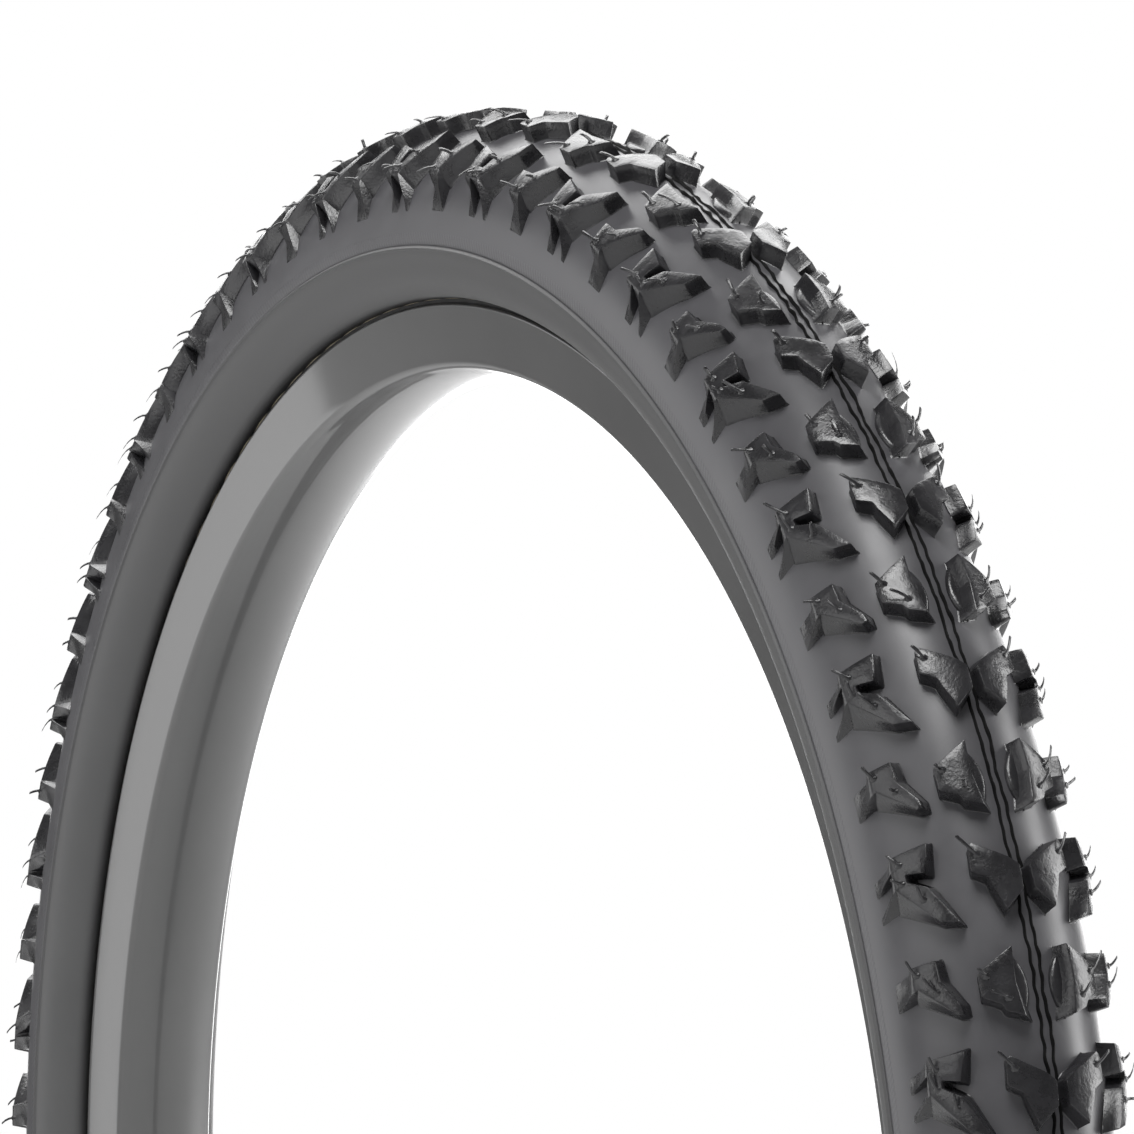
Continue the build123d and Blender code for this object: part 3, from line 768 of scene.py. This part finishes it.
# The rim, in mm: half widths on the tyre's side, radii, and its corner above the hub side.
rimShape = {
    "wall": 17.3,           # inner face of the flange, from the middle
    "lipY": 19.0,           # outer face of the flange
    "lip": 285.0,
    "lipRound": 0.7,
    "seat": 279.5,
    "seatWidth": 8.0,
    "well": 276.5,
    "wellFoot": 8.7,        # where the well begins, in from the flange
    "hub": 262.0,
    "bandRise": 6.5,        # the side band ends this far outside the hub side
    "bandY": 15.9,
    "cornerRise": 4.0,
    "cornerY": 13.8,
    "cornerPull": (4.7, 15.5),
    "columns": 720,
}


def makeRim():
    # The rim's outline: well, seats and flanges on the tyre's side, then a leaning side band,
    # a round corner and a shallow arc across the hub side. The lip is a half circle's sine
    # and cosine, the corner a quadratic curve, and the arc passes through the two corners.
    wall, lipY, lip, seat = (rimShape[k] for k in ("wall", "lipY", "lip", "seat"))
    well, hub, lipRound = (rimShape[k] for k in ("well", "hub", "lipRound"))
    bandRise, bandEnd = rimShape["bandRise"], rimShape["bandY"]
    cornerRise, cornerY = rimShape["cornerRise"], rimShape["cornerY"]
    pullR, pullY = rimShape["cornerPull"]
    lipTurn = np.linspace(0, math.pi, 9)
    lipR = lip - lipRound + lipRound * np.sin(lipTurn)
    lipYs = (wall + lipY) / 2 - (lipY - wall) / 2 * np.cos(lipTurn)
    bandR = np.linspace(lip - 1.0, hub + bandRise, 10)
    along = (lip - lipRound - bandR) / (lip - lipRound - hub - bandRise)
    bandY = lipY - (lipY - bandEnd) * along
    cornerTurn = np.linspace(0.1, 1, 8)
    cornerRs = bendBetween(hub + bandRise, hub + pullR, hub + cornerRise, cornerTurn)
    cornerYs = bendBetween(bandEnd, pullY, cornerY, cornerTurn)
    bulge = (cornerY ** 2 + cornerRise ** 2) / (2 * cornerRise)
    hubY = np.linspace(cornerY, 0, 16)[1:]
    hubR = hub + bulge - np.sqrt(bulge ** 2 - hubY ** 2)
    halfR = np.concatenate([[well, well, seat, seat, lip - 2], lipR, bandR, cornerRs, hubR])
    seatEdges = [0, wall - rimShape["wellFoot"], wall - rimShape["seatWidth"], wall, wall]
    halfY = np.concatenate([seatEdges, lipYs, bandY, cornerYs, hubY])
    r = np.concatenate([halfR, halfR[-2:0:-1]])
    y = np.concatenate([halfY, -halfY[-2:0:-1]])
    mesh = ringMesh("rim", r, y, rimShape["columns"])
    mesh.flip_normals()
    addPiece("rimSurface", mesh, finishes["rimBlack"], ["rim"])


# The finish of each node of the frame that stays in view as it is.
nodeFinishes = {
    "bead_wire_left": "beadWire", "bead_wire_right": "beadWire",
    "chafer_left": "beadRubber", "chafer_right": "beadRubber",
    "outer_casing_ply": "cord", "inner_casing_ply": "cord", "breaker_belt": "cord",
    "rim_joint_sleeve": "bareAluminium", "rim_tape": "tapeCloth", "inner_tube": "tubeRubber",
    "valve_base_patch": "tubeRubber", "valve_stem": "brass", "valve_stem_sleeve": "tubeRubber",
    "valve_core_body": "brass", "valve_core_seal": "sealRed", "valve_core_pin": "brass",
    "valve_core_washer": "tubeRubber", "valve_core_spring": "springSteel",
    "valve_cap": "capPlastic", "valve_cap_gasket": "tubeRubber",
}


def paintNodes():
    # One finish for each of those nodes.
    for name, finish in nodeFinishes.items():
        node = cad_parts[name]
        node.data.materials.clear()
        node.data.materials.append(finishes[finish])


makeKnobs()
makeHairs()
makeTreadFloor()
makeSidewalls()
makeHatchBands()
makeSeam()
print("rubber done")
makeRim()
paintNodes()
print("rim and valve done")
